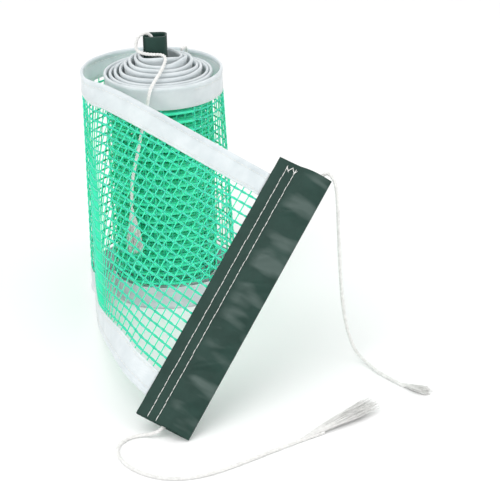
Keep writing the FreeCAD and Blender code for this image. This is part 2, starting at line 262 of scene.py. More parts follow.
# Stations along the net. The flap's pieces start at the split, about half-way round the loose turn.
station_step = 2.2
loose_turn_before_split = 6
ease_reach = 15
ease_passes = 2

pairs = loose_edges()
counts = []
for (top_here, low_here), (top_next, low_next) in zip(pairs[1:], pairs[2:]):
    distance = max(np.linalg.norm(top_next - top_here), np.linalg.norm(low_next - low_here))
    counts.append(int(math.ceil(distance / station_step)))
free_top = smooth_line([pair[0] for pair in pairs], counts)
free_low = smooth_line([pair[1] for pair in pairs], counts)
starts = np.cumsum([0] + counts)
loose_start = starts[1]
split = starts[1 + loose_turn_before_split]
hinge = starts[1 + len(loose_turn)]

for _ in range(ease_passes):
    free_top = eased(free_top, hinge, ease_reach)
    free_low = eased(free_low, hinge, ease_reach)

tight_angles = np.arange(first_angle, last_angle, angle_step)
tight_top, tight_low = tight_edges(tight_angles)
TOP = np.vstack([tight_top, free_top])
LOW = np.vstack([tight_low, free_low])
first_free = len(tight_angles)
split += first_free
loose_start += first_free
hinge += first_free
last = len(TOP) - 1

least_slant_squared = 0.25
slant_reach = 4


def smoothed(values, reach):
    """A running mean over that many neighbours each side."""
    kernel = np.ones(2 * reach + 1) / (2 * reach + 1)
    padded = np.pad(values, reach, mode="edge")
    return np.convolve(padded, kernel, mode="valid")


def frames_of(edge, other, side):
    """Into the net and out of its outer face at each point of an edge, and how squarely they meet it."""
    along = unit(np.gradient(edge, axis=0))
    ruling = unit(other - edge)
    slant = np.sqrt(np.clip(1 - (along * ruling).sum(1) ** 2, least_slant_squared, 1))
    out = unit(np.cross(ruling, along)) * side
    return ruling, out, smoothed(slant, slant_reach)


top_into, top_out, top_slant = frames_of(TOP, LOW, 1)
low_into, low_out, low_slant = frames_of(LOW, TOP, -1)
span = np.linalg.norm(TOP - LOW, axis=1)
low_share = (tape_width - tape_under_mesh) / (span * low_slant)
top_share = 1 - (tape_width - tape_under_mesh) / (span * top_slant)


def row_line(share):
    """A line along the whole net, at that share of the way from the bottom tape to the top tape."""
    v = (low_share + (top_share - low_share) * share)[:, None]
    return LOW * (1 - v) + TOP * v


def lengths(line):
    return np.concatenate([[0], np.cumsum(np.linalg.norm(np.diff(line, axis=0), axis=1))])


def points_at(goal, at, line):
    """The line's points at one or more places along it, where at holds its own points' places."""
    return np.stack([np.interp(goal, at, line[:, k]) for k in range(3)], -1)


# Mesh helpers
class Build:
    """Collects vertices, faces and a face-corner map in millimetres, then makes one object."""

    def __init__(self):
        self.verts = []
        self.faces = []
        self.maps = []
        self.count = 0

    def add(self, verts, quads, caps=(), mapping=None):
        verts = np.asarray(verts, float).reshape(-1, 3)
        self.verts.append(verts)
        self.faces += (np.asarray(quads) + self.count).tolist()
        for cap in caps:
            self.faces.append([int(k) + self.count for k in cap])
        if mapping is None:
            mapping = np.zeros((len(verts), 2))
        self.maps.append(np.asarray(mapping, float).reshape(-1, 2))
        self.count += len(verts)

    def object(self, name, material):
        mesh = bpy.data.meshes.new(name)
        mesh.from_pydata(metres(np.vstack(self.verts)).tolist(), [], self.faces)
        flat = np.vstack(self.maps)
        layer = mesh.uv_layers.new(name="cloth")
        index = np.zeros(len(mesh.loops), int)
        mesh.loops.foreach_get("vertex_index", index)
        layer.data.foreach_set("uv", flat[index].astype(np.float32).ravel())
        mesh.polygons.foreach_set("use_smooth", np.ones(len(mesh.polygons), bool))
        mesh.materials.append(material)
        mesh.update()
        piece = bpy.data.objects.new(name, mesh)
        bpy.context.scene.collection.objects.link(piece)
        return piece


def sweep_faces(count, sides):
    """Faces round rings of points, and the two end caps."""
    i = np.arange(count - 1)[:, None] * sides
    k = np.arange(sides)[None, :]
    nxt = (k + 1) % sides
    quads = np.stack([i + k, i + nxt, i + sides + nxt, i + sides + k], -1).reshape(-1, 4)
    caps = [list(range(sides))[::-1], list(range((count - 1) * sides, count * sides))]
    return quads, caps


def add_tube(build, centre, across, out, wide, thick, sides):
    """An elliptic tube along a line, wide across it and thick out of it."""
    centre = np.asarray(centre, float)
    turn = np.arange(sides) * 2 * math.pi / sides
    shape = (len(centre), 1, 1)
    wide = np.broadcast_to(np.asarray(wide, float).reshape(-1, 1, 1), shape)
    thick = np.broadcast_to(np.asarray(thick, float).reshape(-1, 1, 1), shape)
    ring = centre[:, None, :] + wide * np.cos(turn)[None, :, None] * across[:, None, :]
    ring = ring + thick * np.sin(turn)[None, :, None] * out[:, None, :]
    quads, caps = sweep_faces(len(centre), sides)
    along = lengths(centre)
    mapping = np.stack(np.broadcast_arrays(along[:, None], turn[None, :]), -1)
    build.add(ring, quads, caps, mapping)


frame_start_way = (0.3, 0.2, 0.93)


def line_frames(line):
    """Steady directions across a free line, with little turn about it."""
    along = unit(np.gradient(line, axis=0))
    across = [unit(np.cross(along[0], frame_start_way))]
    for t in along[1:]:
        across.append(unit(across[-1] - t * across[-1].dot(t)))
    across = np.array(across)
    return along, across, np.cross(along, across)


def resample(line, step):
    at = lengths(line)
    count = max(2, int(round(at[-1] / step)) + 1)
    return points_at(np.linspace(0, at[-1], count), at, line)


# Materials. Their noises' scales are in waves a metre, and the bumps' depths in metres.
cloth_mottle_scale, cloth_mottle_stops = 90.0, (0.32, 0.68)
slub_scale = 1400.0
cloth_bump = 0.45
satin_specular = 0.25
twine_patch_scale, twine_patch_stops = 130.0, (0.30, 0.70)
twine_fibre_scale = 2600.0
twine_bump, twine_bump_depth = 0.5, 0.0002
cord_mottle_scale, cord_mottle_stops = 420.0, (0.3, 0.7)
cord_fibre_scale, cord_bump_depth = 5200.0, 0.00018


def material(name):
    made = bpy.data.materials.new(name)
    made.use_nodes = True
    nodes = made.node_tree.nodes
    return made, nodes, made.node_tree.links, nodes["Principled BSDF"]


def ramp(nodes, links, source, stops):
    node = nodes.new("ShaderNodeValToRGB")
    while len(node.color_ramp.elements) < len(stops):
        node.color_ramp.elements.new(0.5)
    for element, (position, colour) in zip(node.color_ramp.elements, stops):
        element.position = position
        element.color = (*colour, 1)
    links.new(source, node.inputs["Fac"])
    return node.outputs["Color"]


def noise(nodes, links, coordinates, scale, detail=3.0):
    node = nodes.new("ShaderNodeTexNoise")
    node.inputs["Scale"].default_value = scale
    node.inputs["Detail"].default_value = detail
    links.new(coordinates, node.inputs["Vector"])
    return node.outputs["Fac"]


def math_node(nodes, links, operation, a, b=None):
    node = nodes.new("ShaderNodeMath")
    node.operation = operation
    for socket, value in zip(node.inputs, (a, b)):
        if isinstance(value, (int, float)):
            socket.default_value = value
        elif value is not None:
            links.new(value, socket)
    return node.outputs[0]


def bump(nodes, links, shader, height, strength, distance):
    node = nodes.new("ShaderNodeBump")
    node.inputs["Strength"].default_value = strength
    node.inputs["Distance"].default_value = distance
    links.new(height, node.inputs["Height"])
    links.new(node.outputs["Normal"], shader.inputs["Normal"])


def weave(nodes, links, uv, pitch):
    """Height of a plain weave over the cloth map, whose unit is a millimetre."""
    places = nodes.new("ShaderNodeSeparateXYZ")
    links.new(uv, places.inputs[0])
    threads = []
    for place_across in (places.outputs[0], places.outputs[1]):
        turn = math_node(nodes, links, "MULTIPLY", place_across, 2 * math.pi / pitch)
        threads.append(math_node(nodes, links, "SINE", turn))
    return math_node(nodes, links, "MULTIPLY", *threads)


def fade_between(nodes, links, value, ends):
    """A share from 0 at the first of the two values to 1 at the second."""
    node = nodes.new("ShaderNodeMapRange")
    node.inputs["From Min"].default_value = ends[0]
    node.inputs["From Max"].default_value = ends[1]
    links.new(value, node.inputs["Value"])
    return node.outputs["Result"]


# Painted highlights: paler satin bands over the sleeve's cloth map. The pocket lies between these places
# across its cloth.
band_scale = (0.080, 0.026)
band_turn = 0.30
band_detail = 2.5
band_edge = (0.51, 0.66)
pocket_front, pocket_back = (13.5, 20.0), (56.5, 50.0)

# Sockets of a mix node that mixes colours
mix_factor, mix_colour_a, mix_colour_b, mix_colour_out = 0, 6, 7, 2


def painted_satin_highlights(nodes, links, uv, colour, highlight_colour):
    """Painted highlight: paler bands across the pocket, where creased satin would catch the light."""
    stretch = nodes.new("ShaderNodeMapping")
    stretch.inputs["Scale"].default_value = (*band_scale, 1.0)
    stretch.inputs["Rotation"].default_value = (0.0, 0.0, band_turn)
    links.new(uv, stretch.inputs["Vector"])
    bands = noise(nodes, links, stretch.outputs["Vector"], 1.0, band_detail)
    places = nodes.new("ShaderNodeSeparateXYZ")
    links.new(uv, places.inputs[0])
    front = fade_between(nodes, links, places.outputs[1], pocket_front)
    back = fade_between(nodes, links, places.outputs[1], pocket_back)
    share = math_node(nodes, links, "MULTIPLY", fade_between(nodes, links, bands, band_edge), front)
    share = math_node(nodes, links, "MULTIPLY", share, back)
    mix = nodes.new("ShaderNodeMix")
    mix.data_type = "RGBA"
    links.new(share, mix.inputs[mix_factor])
    links.new(colour, mix.inputs[mix_colour_a])
    mix.inputs[mix_colour_b].default_value = (*highlight_colour, 1)
    return mix.outputs[mix_colour_out]


def set_sockets(node, **values):
    """Plain values of the node's own sockets, named with underscores for spaces."""
    for name, value in values.items():
        node.inputs[name.replace("_", " ")].default_value = value


def cloth_material(name, colours, roughness, thread_pitch, depth, sheen, thin=0.0, painted_highlight=None):
    """Woven cloth. Thin cloth lets light through, and satin gets paler bands of painted highlight."""
    made, nodes, links, shader = material(name)
    coordinates = nodes.new("ShaderNodeTexCoord")
    space = coordinates.outputs["Object"]
    mottle = noise(nodes, links, space, cloth_mottle_scale)
    colour = ramp(nodes, links, mottle, tuple(zip(cloth_mottle_stops, colours)))
    if painted_highlight:
        # Paler bands of painted highlight over the satin's own colour
        colour = painted_satin_highlights(nodes, links, coordinates.outputs["UV"], colour, painted_highlight)
        set_sockets(shader, Specular_IOR_Level=satin_specular)
    links.new(colour, shader.inputs["Base Color"])
    threads = weave(nodes, links, coordinates.outputs["UV"], thread_pitch)
    slubs = noise(nodes, links, space, slub_scale, 2.0)
    height = math_node(nodes, links, "ADD", threads, slubs)
    bump(nodes, links, shader, height, cloth_bump, depth)
    set_sockets(
        shader, Roughness=roughness, Sheen_Weight=sheen, Sheen_Roughness=0.45,
        Subsurface_Weight=thin, Subsurface_Radius=(1.0, 1.0, 1.0), Subsurface_Scale=0.0025,
    )
    return made


def twine_material():
    made, nodes, links, shader = material("net_twine")
    coordinates = nodes.new("ShaderNodeTexCoord")
    space = coordinates.outputs["Object"]
    patch = noise(nodes, links, space, twine_patch_scale)
    colour = ramp(nodes, links, patch, tuple(zip(twine_patch_stops, (twine_deep, twine_pale))))
    links.new(colour, shader.inputs["Base Color"])
    fibres = noise(nodes, links, space, twine_fibre_scale, 2.0)
    bump(nodes, links, shader, fibres, twine_bump, twine_bump_depth)
    set_sockets(
        shader, Roughness=0.42, Subsurface_Weight=0.6,
        Subsurface_Radius=(0.25, 1.0, 0.6), Subsurface_Scale=0.002,
    )
    return made


def cord_material(name, colours, relief):
    made, nodes, links, shader = material(name)
    coordinates = nodes.new("ShaderNodeTexCoord")
    space = coordinates.outputs["Object"]
    mottle = noise(nodes, links, space, cord_mottle_scale)
    colour = ramp(nodes, links, mottle, tuple(zip(cord_mottle_stops, colours)))
    links.new(colour, shader.inputs["Base Color"])
    fibres = noise(nodes, links, space, cord_fibre_scale)
    bump(nodes, links, shader, fibres, relief, cord_bump_depth)
    set_sockets(shader, Roughness=0.8, Sheen_Weight=0.3)
    return made


twine = twine_material()
tape_cloth = cloth_material(
    "tape_cloth", (tape_deep, tape_pale), roughness=0.75, thread_pitch=0.9, depth=0.00012,
    sheen=0.15, thin=0.6,
)
# The sleeve's satin carries bands of painted highlight
sleeve_cloth = cloth_material(
    "sleeve_cloth", (satin_deep, satin_pale), roughness=0.33, thread_pitch=0.55, depth=0.00008,
    sheen=0.04, painted_highlight=satin_painted_highlight,
)
thread = cord_material("sewing_thread", (thread_deep, thread_pale), relief=0.3)
cotton = cord_material("cotton_cord", (cotton_deep, cotton_pale), relief=0.6)


# Netting
def netting(name, start, stop, columns, twisted):
    """Lengthwise strands from station start to stop, and the cross strands of those columns."""
    build = Build()
    for k in range(row_count):
        line = row_line((k + 0.5) / row_count)[start:stop + 1]
        upward = (TOP - LOW)[start:stop + 1]
        if twisted:
            at = lengths(line)
            goal = np.linspace(0, at[-1], int(at[-1] / yarn_step))
            line, upward = points_at(goal, at, line), points_at(goal, at, upward)
        along = unit(np.gradient(line, axis=0))
        out = unit(np.cross(along, upward))
        across = np.cross(out, along)
        if not twisted:
            add_tube(build, line, across, out, row_wide, row_thick, row_sides)
            continue
        phase = 2 * math.pi * goal / (2 * column_pitch) + rng.uniform(0, 6.3)
        for side in (-1, 1):
            shift = across * np.cos(phase)[:, None] * yarn_offset
            shift = shift + out * np.sin(phase)[:, None] * yarn_lift
            add_tube(build, line + shift * side, across, out, yarn_radius, yarn_thick, yarn_sides)
    for nodes_line in columns:
        _, across, out = line_frames(nodes_line)
        add_tube(build, nodes_line, across, out, cross_radius, cross_radius, cross_sides)
    return build.object(name, twine)


shares = np.concatenate([[0.0], (np.arange(row_count) + 0.5) / row_count, [1.0]])
row_points = [row_line(share) for share in shares]


def free_columns():
    """Cross strands from the end sleeve back to the tight roll, evenly spaced along each strand."""
    tables = []
    for line in row_points:
        back = line[loose_start:][::-1]
        at = lengths(back)
        hinge_at = at[len(back) - 1 - (hinge - loose_start)]
        split_at = at[len(back) - 1 - (split - loose_start)]
        tables.append((back, at, hinge_at, split_at))
    total = int(round(np.mean([at[-1] for _, at, _, _ in tables]) / column_pitch))
    flap, loose = [], []
    for j in range(1, total + 1):
        points = []
        places = []
        for back, at, hinge_at, split_at in tables:
            steps = int(hinge_at / column_pitch)
            goal = column_pitch * j
            if j > steps:
                rest = at[-1] - column_pitch * steps
                goal = column_pitch * steps + (j - steps) * rest / (total - steps)
            points.append(points_at(goal, at, back))
            places.append(goal - split_at)
        (flap if np.mean(places) < 0 else loose).append(np.array(points))
    return flap, loose


def tight_columns():
    """Cross strands of the tight roll, from its outer end inwards."""
    columns = []
    angle = last_angle - column_start
    while angle > first_angle + column_end:
        at = (angle - first_angle) / angle_step
        i = min(int(at), first_free - 2)
        columns.append(np.array([line[i] + (line[i + 1] - line[i]) * (at - i) for line in row_points]))
        angle -= math.degrees(column_pitch / tight_radius(angle))
    return columns


flap_columns, loose_columns = free_columns()
net_tight = netting("netting_tight", 0, loose_start, tight_columns(), False)
net_loose = netting("netting_loose", loose_start, split, loose_columns, True)
net_flap = netting("netting_flap", split, last, flap_columns, True)


# Tapes, each folded round its hem cord. Depths run from the net's edge into the net.
tape_flats = (tape_width - 0.5, 12.0, 9.0, 6.0, 4.0)
tape_rim_half, tape_rim_depth = 0.7 * tape_half, 0.12

# Puckers: size, length, drift, the drift's length, and how many times the top tape's phase counts
pucker_waves = ((0.16, 2.9, 1.7, 17.0, 1), (0.12, 6.1, 2.0, 31.0, 2))
pucker_depth, pucker_reach = 12.5, 4.5
top_phase = 1.3

tape_stitch_depths = (3.7, 13.2)
tape_stitch_start, tape_stitch_length, tape_stitch_pitch = 0.6, 2.2, 3.0
tape_stitch_radius = 0.17


def tape_profile():
    """The tape's section: its inner edge, one face, round the fold and back along the other face."""
    outline = [
        (tape_width, -tape_rim_half), (tape_width + tape_rim_depth, 0.0), (tape_width, tape_rim_half),
    ]
    outline += [(depth, tape_half) for depth in tape_flats]
    join = math.asin(tape_half / bead_radius) + bead_join
    for turn in np.linspace(join, 2 * math.pi - join, bead_steps):
        outline.append((bead_depth + bead_depth * math.cos(turn), bead_radius * math.sin(turn)))
    outline += [(depth, -tape_half) for depth in reversed(tape_flats)]
    return np.array(outline)


def edge_data(top):
    if top:
        return TOP, top_into, top_out, top_slant
    return LOW, low_into, low_out, low_slant


def pucker(along, depth, top):
    """How far the tape stands out of its plane, drawn in by its seam."""
    phase = top_phase if top else 0.0
    wave = 0
    for size, length, drift, drift_length, times in pucker_waves:
        turn = along / length + drift * np.sin(along / drift_length) + times * phase
        wave = wave + size * np.sin(turn)
    return wave * np.exp(-((depth - pucker_depth) / pucker_reach) ** 2)


def tape_piece(name, start, stop, top):
    edge, into, out, slant = edge_data(top)
    profile = tape_profile()
    rows = slice(start, stop + 1)
    at = lengths(edge)[rows]
    depth = profile[:, 0][None, :] / slant[rows][:, None]
    lift = profile[:, 1][None, :] + pucker(at[:, None], profile[:, 0][None, :], top)
    verts = edge[rows][:, None, :] + into[rows][:, None, :] * depth[:, :, None]
    verts = verts + out[rows][:, None, :] * lift[:, :, None]
    quads, caps = sweep_faces(len(at), len(profile))
    loop = lengths(profile)
    mapping = np.stack(np.broadcast_arrays(at[:, None], loop[None, :]), -1)
    build = Build()
    build.add(verts, quads, caps, mapping)
    return build.object(name, tape_cloth)


stitch_swell = (0.55, 0.95, 1.0, 0.95, 0.55)


def add_stitch(build, start, end, across, out, radius):
    """One stitch: a thread that dips in at both ends."""
    share = np.linspace(0, 1, len(stitch_swell))
    hump = np.sin(share * math.pi) * radius * 1.1
    line = start + (end - start) * share[:, None] + out * hump[:, None]
    wide = radius * np.array(stitch_swell)
    side = np.repeat(across[None, :], len(share), 0)
    up = np.repeat(out[None, :], len(share), 0)
    add_tube(build, line, side, up, wide, wide, 6)


def tape_stitches(name, start, stop):
    """Two rows of stitches on both faces of both tapes."""
    build = Build()
    for top in (True, False):
        edge, into, out, slant = edge_data(top)
        at = lengths(edge)
        for depth in tape_stitch_depths:
            line = edge + into * (depth / slant)[:, None]
            line_at = lengths(line)
            place_at = line_at[start] + tape_stitch_start
            while place_at + tape_stitch_length < line_at[stop]:
                a = points_at(place_at, line_at, line)
                b = points_at(place_at + tape_stitch_length, line_at, line)
                normal = unit(points_at(place_at, line_at, out))
                across = np.cross(normal, unit(b - a))
                proud = pucker(np.interp(place_at, line_at, at), depth, top)
                for side in (1, -1):
                    rise = normal * (side * tape_half + proud)
                    add_stitch(build, a + rise, b + rise, across, normal * side, tape_stitch_radius)
                place_at += tape_stitch_pitch
    return build.object(name, thread)


tape_top_roll = tape_piece("tape_top_roll", 0, split, True)
tape_low_roll = tape_piece("tape_bottom_roll", 0, split, False)
tape_top_flap = tape_piece("tape_top_flap", split, last, True)
tape_low_flap = tape_piece("tape_bottom_flap", split, last, False)
stitches_roll = tape_stitches("tape_stitches_roll", loose_start, split)
stitches_flap = tape_stitches("tape_stitches_flap", split, last)


# End sleeve. Its two threads' seam leaves a pocket beside the strip that is sewn flat.
sewn_height, cloth_thickness = 0.6, 0.62
front_crown, back_crown = 2.9, 1.5
pocket_start = 14.0
deepest_dent = -0.45
least_gap = 0.05
outer_edge, inner_edge = sleeve_width - 0.35, sleeve_width - 0.9
inner_map_shift = 80
rows_up, rows_across = 177, 42
crease_depth, crease_reach = 2.0, 9.0

# Its smaller waves: size, then lengths. The loose ones rise over 5 mm by the seam and fall over 3 mm.
loose_size, loose_up, loose_across = 0.35, 13.0, 9.0
loose_from, loose_rise, loose_to, loose_fall = 13.5, 5.0, 35.2, 3.0
seam_size, seam_rate, seam_place, seam_reach = 0.16, 1.57, 10.0, 4.0
edge_size, edge_length, edge_place, edge_reach = 0.22, 2.3, 1.5, 3.0


def sleeve_point(across, out, up):
    across, out, up = np.broadcast_arrays(across, out, up)
    return (
        sleeve_foot + across[..., None] * sleeve_across + out[..., None] * sleeve_back
        + up[..., None] * sleeve_up
    )


# Creases across the pocket: place along it, place across it, slant, width, depth
creases = (
    (147.4, 23.0, 0.55, 2.6, 0.9), (141.0, 27.0, 0.40, 2.0, -0.5),
    (115.5, 22.0, 0.70, 2.8, 1.0), (109.0, 27.0, 0.55, 2.2, -0.6),
    (97.9, 26.0, 0.45, 2.6, 0.9), (92.0, 24.0, 0.60, 2.0, -0.5),
    (58.0, 30.0, 0.50, 2.6, 0.8), (43.9, 25.0, 0.65, 2.8, 1.0),
    (38.0, 22.0, 0.40, 2.0, -0.6), (20.0, 26.0, 0.30, 3.0, 0.5),
    (165.0, 24.0, 0.35, 3.0, 0.5), (76.0, 25.0, 0.50, 3.2, 0.5),
)


def wrinkle(across, up, side):
    """How far a panel's cloth stands out: slow waves, creases, the pull of its seam and a wavy edge."""
    height = loose_size * np.sin(up / loose_up + side) * np.sin(across / loose_across)
    for place_up, place_across, slant, width, depth in creases:
        line = up - place_up - (across - place_across) * slant * side
        reach = np.exp(-((across - place_across) / crease_reach) ** 2)
        height = height + crease_depth * depth * reach * np.exp(-(line / width) ** 2)
    loose = np.clip((across - loose_from) / loose_rise, 0, 1)
    loose = loose * np.clip((loose_to - across) / loose_fall, 0, 1)
    seam = seam_size * np.sin(up * seam_rate) * np.exp(-((across - seam_place) / seam_reach) ** 2)
    edge = edge_size * np.sin(up / edge_length + 1.5 * np.sin(up / 9.0))
    edge = edge * np.exp(-((across - edge_place) / edge_reach) ** 2)
    return height * loose + seam + edge


def bulge(across, crown):
    """Half the gap between the panels: the sewn strip's, then an arch over the pocket."""
    share = np.clip((across - pocket_start) / (sleeve_width - pocket_start), 0, 1)
    return sewn_height * (1 - share) + (crown - sewn_height * 0.5) * np.sin(np.pi * share)


def wall_ends(rings, sides):
    """Faces that close a double wall at its first and its last ring of that many points."""
    half = sides // 2
    ends = []
    for base in (0, (rings - 1) * sides):
        for k in range(half - 1):
            a, b = base + k, base + k + 1
            c, d = base + 2 * half - 2 - k, base + 2 * half - 1 - k
            ends.append([a, b, c, d] if base else [d, c, b, a])
    return ends


def end_sleeve():
    """The pocket's two panels, drawn as one closed wall round its channel."""
    up = np.linspace(0, sleeve_length, rows_up)
    across = np.linspace(0.0, outer_edge, rows_across)
    outer, inner, loop = [], [], []
    for side, crown in ((-1, front_crown), (1, back_crown)):
        x = across if side < 0 else across[::-1]
        grid_x, grid_u = np.meshgrid(x, up)
        dents = np.maximum(wrinkle(grid_x, grid_u, -side), deepest_dent)
        height = bulge(grid_x, crown) + cloth_thickness + dents
        outer.append(sleeve_point(grid_x, side * height, grid_u))
        loop.append(x if side < 0 else 2 * sleeve_width - x)
    for side, crown in ((1, back_crown), (-1, front_crown)):
        x = across if side > 0 else across[::-1]
        grid_x, grid_u = np.meshgrid(x, up)
        dents = np.maximum(wrinkle(grid_x, grid_u, -side), deepest_dent)
        height = np.maximum(bulge(grid_x, crown), least_gap) + dents
        inner.append(sleeve_point(np.minimum(grid_x, inner_edge), side * height, grid_u))
        loop.append((x if side > 0 else 2 * sleeve_width - x) + inner_map_shift)
    ring = np.concatenate(outer + inner, 1)
    quads, _ = sweep_faces(rows_up, ring.shape[1])
    ends = wall_ends(rows_up, ring.shape[1])
    mapping = np.stack(np.broadcast_arrays(up[:, None], np.concatenate(loop)[None, :]), -1)
    build = Build()
    build.add(ring, np.vstack([quads, ends]), (), mapping)
    return build.object("end_sleeve", sleeve_cloth)


# Crossed stitches that fasten the threads at the rows' upper end: across and up at both ends of each
tacks = (
    (6.6, 172.6, 9.2, 169.4), (8.4, 169.8, 10.6, 173.4),
    (10.2, 173.2, 12.8, 170.0), (12.2, 169.6, 13.8, 172.4),
)
tack_height, tack_radius = 1.26, 0.24
sleeve_stitch_rows = (7.0, 12.6)
sleeve_stitch_length, sleeve_stitch_radius, sleeve_stitch_lift = 3.85, 0.22, 0.02


def sleeve_stitches(name, across, crossed):
    """A row of stitches on both faces of the sewn strip, with its crossed stitches."""
    build = Build()
    for x0, up0, x1, up1 in crossed:
        a, b = sleeve_point(np.array([x0, x1]), -tack_height, np.array([up0, up1]))
        add_stitch(build, a, b, np.cross(sleeve_back, unit(b - a)), -sleeve_back, tack_radius)
    for side in (-1, 1):
        low = stitch_start
        while low + stitch_pitch < sleeve_length:
            x = across + rng.uniform(-0.12, 0.12)
            up = np.array([low, low + sleeve_stitch_length])
            rise = sewn_height + cloth_thickness + sleeve_stitch_lift
            rise = rise + wrinkle(np.array([x, x]), up, -side)
            a, b = sleeve_point(np.array([x, x + rng.uniform(-0.1, 0.1)]), side * rise, up)
            add_stitch(build, a, b, sleeve_across, sleeve_back * side, sleeve_stitch_radius)
            low += stitch_pitch
    return build.object(name, thread)


sleeve = end_sleeve()
stitch_row_1 = sleeve_stitches("sleeve_stitches_inner", sleeve_stitch_rows[0], tacks)
stitch_row_2 = sleeve_stitches("sleeve_stitches_outer", sleeve_stitch_rows[1], ())


# Core sleeve, the folded tab in the middle of the roll
def core_outline(offset):
    """The core sleeve's U seen from above, that far outside the middle of its cloth."""
    depth, right = core_half_depth + offset, core_right + offset
    corner = core_corner + offset
    points = [(x, -depth) for x in np.linspace(core_left, right - corner, 8)]
    for turn in np.linspace(-math.pi / 2, math.pi / 2, 15)[1:-1]:
        middle_y = -depth + corner if turn < 0 else depth - corner
        points.append((right - corner + corner * math.cos(turn), middle_y + corner * math.sin(turn)))
    points += [(x, depth) for x in np.linspace(right - corner, core_back_left, 9)]
    return np.array(points)


def core_sleeve():
    """The core sleeve's folded cloth. Above the roll, where it is free, it waves a little."""
    outline = np.vstack([core_outline(core_half_cloth), core_outline(-core_half_cloth)[::-1]])
    up = np.concatenate([np.linspace(0, core_sway_from, 26), np.linspace(151.5, sleeve_length, 18)])
    ring = np.zeros((len(up), len(outline), 3))
    ring[:, :, :2] = outline[None]
    sway = 0.25 * np.sin(up[:, None] / 7.0 + outline[None, :, 0] / 3.0)
    sway = sway * np.clip((up[:, None] - core_sway_from) / 10, 0, 1)
    ring[:, :, 1] += sway * np.sign(outline[None, :, 1]) * -0.6
    ring[:, :, 2] = up[:, None]
    quads, _ = sweep_faces(len(up), len(outline))
    ends = wall_ends(len(up), len(outline))
    loop = lengths(outline)
    mapping = np.stack(np.broadcast_arrays(up[:, None], loop[None, :]), -1)
    build = Build()
    build.add(ring, np.vstack([quads, ends]), (), mapping)
    return build.object("core_sleeve", sleeve_cloth)


def core_stitches():
    """Two rows of stitches up the outside of the core sleeve's back."""
    build = Build()
    for across in core_stitch_rows:
        low = stitch_start
        while low + core_stitch_room < sleeve_length:
            a = np.array((core_back_left + across, core_depth + core_stitch_lift, low))
            b = a + np.array((0, 0, core_stitch_length))
            add_stitch(build, a, b, np.array((1.0, 0, 0)), np.array((0, 1.0, 0)), core_stitch_radius)
            low += stitch_pitch
    return build.object("core_stitches", thread)


core = core_sleeve()
core_seams = core_stitches()

# Cords. Each route runs from inside its sleeve or roll to the cord's free end.
end_bottom_points = (
    sleeve_foot + sleeve_across * 19.0 + sleeve_up * 5.0,
    sleeve_foot + sleeve_across * 18.0 + sleeve_up * -1.0,
    (-11.5, -208.0, 3.2), (-19.5, -205.5, lay), (-28.0, -209.0, lay), (-33.5, -219.5, lay),
    (-30.5, -234.0, lay), (-20.0, -248.5, lay), (-4.5, -257.0, lay), (16.0, -255.0, lay),
    (38.0, -242.0, lay), (61.0, -226.5, lay), (86.0, -211.5, lay),
)
end_top_points = (
    sleeve_foot + sleeve_across * 27.0 + sleeve_up * (sleeve_length - 5.0),
    sleeve_foot + sleeve_across * 27.5 + sleeve_up * (sleeve_length + 3.5),
    (100.5, -118.5, 121.5), (102.6, -120.0, 111.0), (103.2, -120.0, 90.0), (104.2, -119.0, 62.0),
    (105.6, -118.0, 38.0), (108.6, -117.5, 19.0), (113.4, -119.5, 5.0), (120.2, -129.0, lay),
    (127.0, -144.0, lay), (139.2, -160.3, lay),
)
core_top_points = (
    (-2.8, 0.0, 165.0), (-2.8, 0.0, 173.0), (-6.5, -1.0, 178.2), (-13.0, -1.5, 176.0),
    (-14.8, -2.5, 168.5), (-12.0, -6.0, 166.3), (-5.0, -8.6, 165.5), (2.6, -9.4, 165.6),
    (4.8, -14.5, 164.6), (2.8, -20.5, 161.4), (0.0, -27.0, 158.4), (-3.0, -33.6, 156.4),
    (-6.2, -40.0, 153.0), (-8.2, -39.6, 144.0), (-12.0, -38.2, 128.0), (-16.2, -36.4, 107.5),
    (-20.5, -34.4, 90.5), (-21.2, -34.0, 73.5),
)
core_tail_points = (
    (15.0, 19.6, 159.2), (16.2, 24.2, 158.6), (17.2, 29.4, 157.4), (17.9, 35.0, 155.8),
    (18.4, 39.6, 151.8), (18.5, 40.2, 144.5), (18.7, 39.6, 136.5),
)


def spline_line(name, points):
    """The smooth line of a cord, in millimetres: a NURBS spline with the route's points."""
    curve = bpy.data.curves.new(name + "_line", "CURVE")
    curve.dimensions = "3D"
    curve.resolution_u = 24
    spline = curve.splines.new("NURBS")
    spline.points.add(len(points) - 1)
    for point, control in zip(points, spline.points):
        control.co = (*np.asarray(point, float), 1)
    spline.order_u = 3
    spline.use_endpoint_u = True
    holder = bpy.data.objects.new(name + "_line", curve)
    bpy.context.scene.collection.objects.link(holder)
    bpy.context.view_layer.update()
    mesh = bpy.data.meshes.new_from_object(holder.evaluated_get(bpy.context.evaluated_depsgraph_get()))
    line = np.array([v.co for v in mesh.vertices])
    bpy.data.objects.remove(holder)
    bpy.data.meshes.remove(mesh)
    bpy.data.curves.remove(curve)
    return resample(line, cord_step)


def twisted_cord(name, line):
    """Three strands laid round the line, with a few loose fibres."""
    build = Build()
    along, across, out = line_frames(line)
    at = lengths(line)
    for k in range(3):
        phase = 2 * math.pi * (at / twist_length + k / 3)
        shift = across * np.cos(phase)[:, None] * strand_offset
        shift = shift + out * np.sin(phase)[:, None] * strand_offset
        swell = strand_radius * (1 + 0.06 * np.sin(at / 5.0 + k))
        add_tube(build, line + shift, across, out, swell, swell, 8)
    for _ in range(int(at[-1] / 6)):
        i = int(rng.integers(2, len(line) - 6))
        turn = rng.uniform(0, 2 * math.pi)
        way = across[i] * math.cos(turn) + out[i] * math.sin(turn)
        share = np.linspace(0, 1, 5)[:, None]
        stand = 1.05 + 1.1 * share * (1.3 - share)
        hair = line[i] + way * stand + along[i] * share * rng.uniform(2, 4)
        hair[:, 2] = np.maximum(hair[:, 2], fibre_least_height)
        _, hair_across, hair_out = line_frames(hair)
        add_tube(build, hair, hair_across, hair_out, fibre_radius, fibre_radius, 3)
    return build.object(name, cotton)


